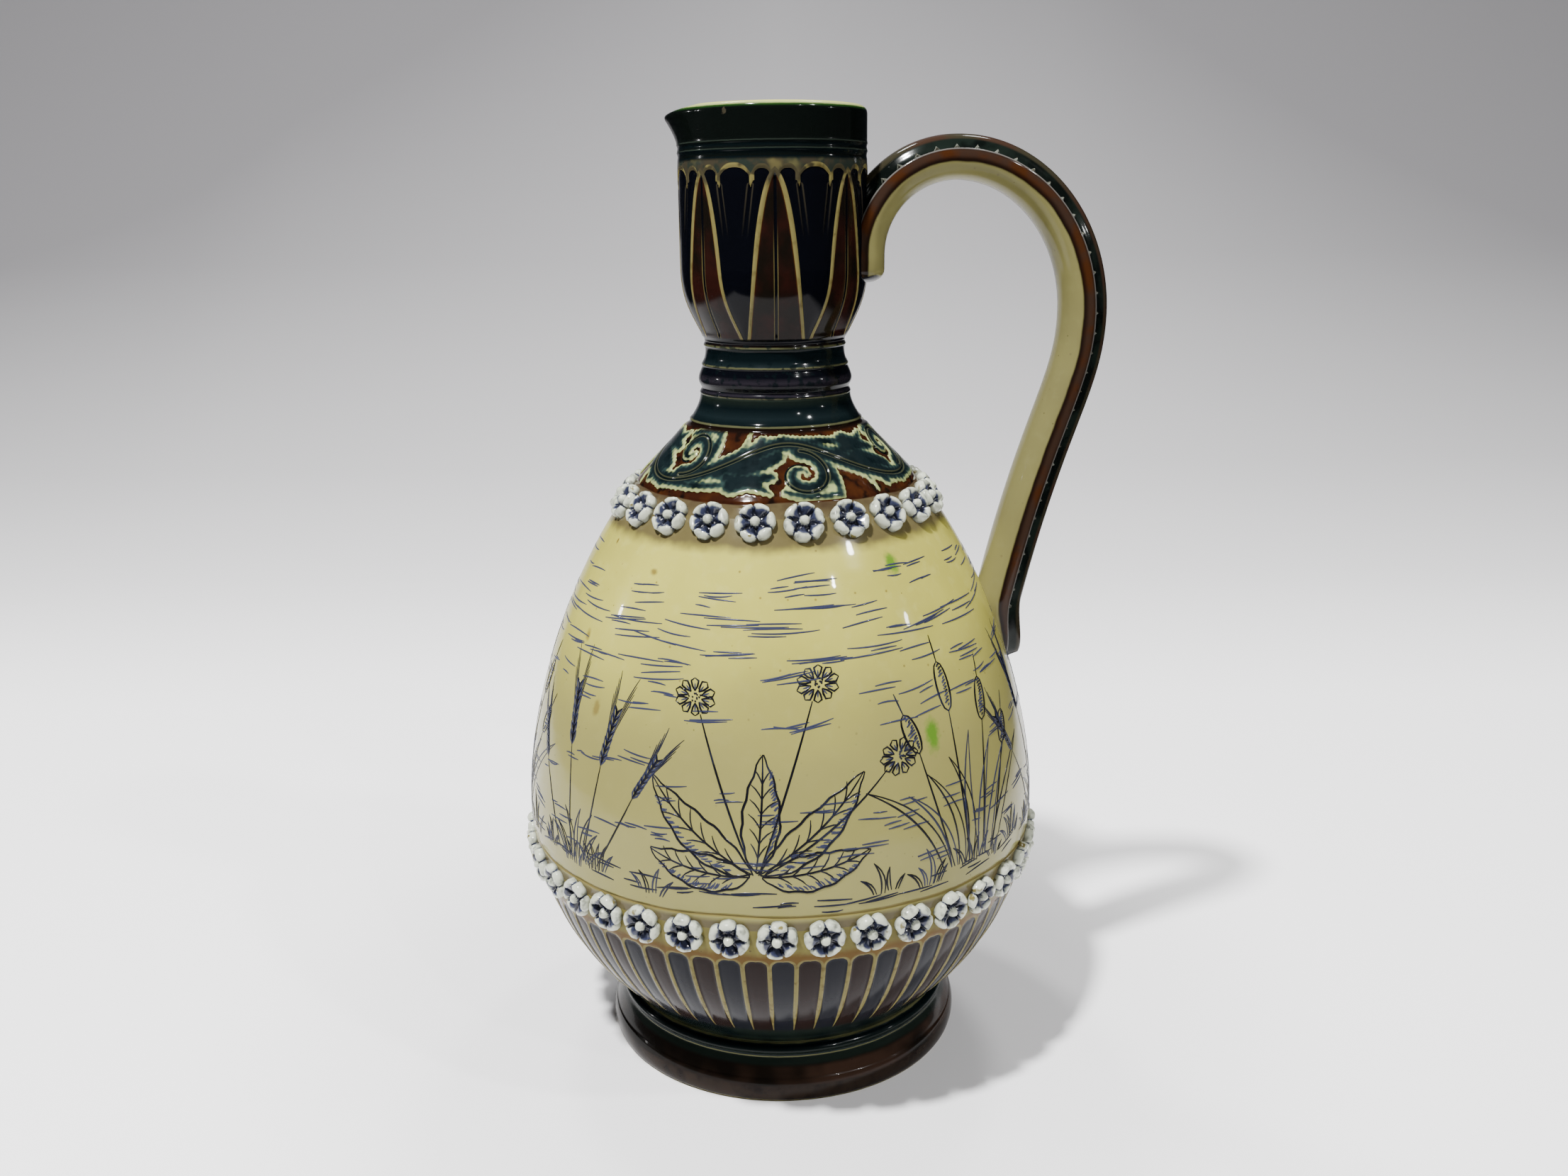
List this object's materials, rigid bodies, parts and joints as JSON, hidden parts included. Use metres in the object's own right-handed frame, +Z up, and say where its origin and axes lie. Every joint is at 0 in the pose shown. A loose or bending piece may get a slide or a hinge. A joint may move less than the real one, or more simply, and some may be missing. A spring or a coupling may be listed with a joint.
{
  "type": "sgraffito jug",
  "caption": "Salt-glazed stoneware jug with a round belly, slim neck, tall collar with a pulled lip, strap handle and applied rosettes.",
  "frame": {"origin": "middle of the jug's footprint box, handle and lip included, on the plane it stands on", "axes": "+Z up along the jug's axis, +X towards the handle, -X towards the pouring lip"},
  "size_m": [0.1508, 0.1364, 0.24],
  "materials": {
    "foot_glaze": "glossy brown and dark green salt glaze, pale where it thins on the turned lines",
    "body_glaze": "clear salt glaze over cream stoneware with incised indigo lines and painted bands",
    "neck_glaze": "glossy dark teal and blue-black salt glaze",
    "collar_glaze": "glossy brown, blue-black and dark green salt glaze over carved leaves, pale on the edges",
    "handle_glaze": "cream inside face, brown sides, dark teal channels between pale ridges",
    "rosette_glaze": "white slip petals with blue glaze pooled round the bud"
  },
  "bodies": {
    "root": {"foot": "foot_glaze", "body": "body_glaze", "neck": "neck_glaze", "collar": "collar_glaze", "handle": "handle_glaze", "rosette_lower_01": "rosette_glaze", "rosette_lower_02": "rosette_glaze", "rosette_lower_03": "rosette_glaze", "rosette_lower_04": "rosette_glaze", "rosette_lower_05": "rosette_glaze", "rosette_lower_06": "rosette_glaze", "rosette_lower_07": "rosette_glaze", "rosette_lower_08": "rosette_glaze", "rosette_lower_09": "rosette_glaze", "rosette_lower_10": "rosette_glaze", "rosette_lower_11": "rosette_glaze", "rosette_lower_12": "rosette_glaze", "rosette_lower_13": "rosette_glaze", "rosette_lower_14": "rosette_glaze", "rosette_lower_15": "rosette_glaze", "rosette_lower_16": "rosette_glaze", "rosette_lower_17": "rosette_glaze", "rosette_lower_18": "rosette_glaze", "rosette_lower_19": "rosette_glaze", "rosette_lower_20": "rosette_glaze", "rosette_lower_21": "rosette_glaze", "rosette_lower_22": "rosette_glaze", "rosette_lower_23": "rosette_glaze", "rosette_lower_24": "rosette_glaze", "rosette_lower_25": "rosette_glaze", "rosette_lower_26": "rosette_glaze", "rosette_lower_27": "rosette_glaze", "rosette_lower_28": "rosette_glaze", "rosette_lower_29": "rosette_glaze", "rosette_lower_30": "rosette_glaze", "rosette_lower_31": "rosette_glaze", "rosette_lower_32": "rosette_glaze", "rosette_lower_33": "rosette_glaze", "rosette_lower_34": "rosette_glaze", "rosette_lower_35": "rosette_glaze", "rosette_lower_36": "rosette_glaze", "rosette_lower_37": "rosette_glaze", "rosette_lower_38": "rosette_glaze", "rosettes_upper_01": "rosette_glaze", "rosettes_upper_02": "rosette_glaze", "rosettes_upper_03": "rosette_glaze", "rosettes_upper_04": "rosette_glaze", "rosettes_upper_05": "rosette_glaze", "rosettes_upper_06": "rosette_glaze", "rosettes_upper_07": "rosette_glaze", "rosettes_upper_08": "rosette_glaze", "rosettes_upper_09": "rosette_glaze", "rosettes_upper_10": "rosette_glaze", "rosettes_upper_11": "rosette_glaze"}
  },
  "joints": []
}
